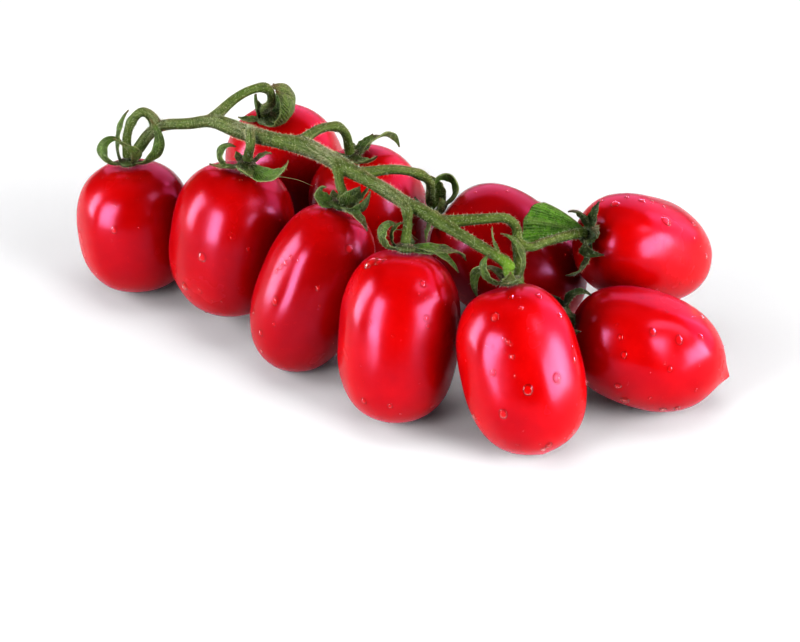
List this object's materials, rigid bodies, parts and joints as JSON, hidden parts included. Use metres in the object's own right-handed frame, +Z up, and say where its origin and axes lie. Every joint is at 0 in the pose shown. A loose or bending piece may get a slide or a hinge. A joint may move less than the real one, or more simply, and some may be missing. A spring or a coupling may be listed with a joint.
{
  "type": "truss of tomatoes",
  "caption": "Truss of ripe red plum cherry tomatoes, each under a green calyx of curling sepals, on one branching green vine that lies across the top of the fruits.",
  "frame": {"origin": "middle of the footprint, on the surface the fruits rest on", "axes": "+X along the main stem from its cut end to its tip, +Z up"},
  "size_m": [0.1835, 0.1033, 0.0593],
  "materials": {
    "skin": "smooth waxy gloss",
    "calyx": "matte, finely hairy",
    "vine": "matte, finely hairy"
  },
  "bodies": {
    "root": {"tomato_01": "skin", "calyx_01": "calyx", "tomato_02": "skin", "calyx_02": "calyx", "tomato_03": "skin", "calyx_03": "calyx", "tomato_04": "skin", "calyx_04": "calyx", "tomato_05": "skin", "calyx_05": "calyx", "tomato_06": "skin", "calyx_06": "calyx", "tomato_07": "skin", "calyx_07": "calyx", "tomato_08": "skin", "calyx_08": "calyx", "tomato_09": "skin", "calyx_09": "calyx", "tomato_10": "skin", "calyx_10": "calyx", "vine": "vine"}
  },
  "joints": []
}
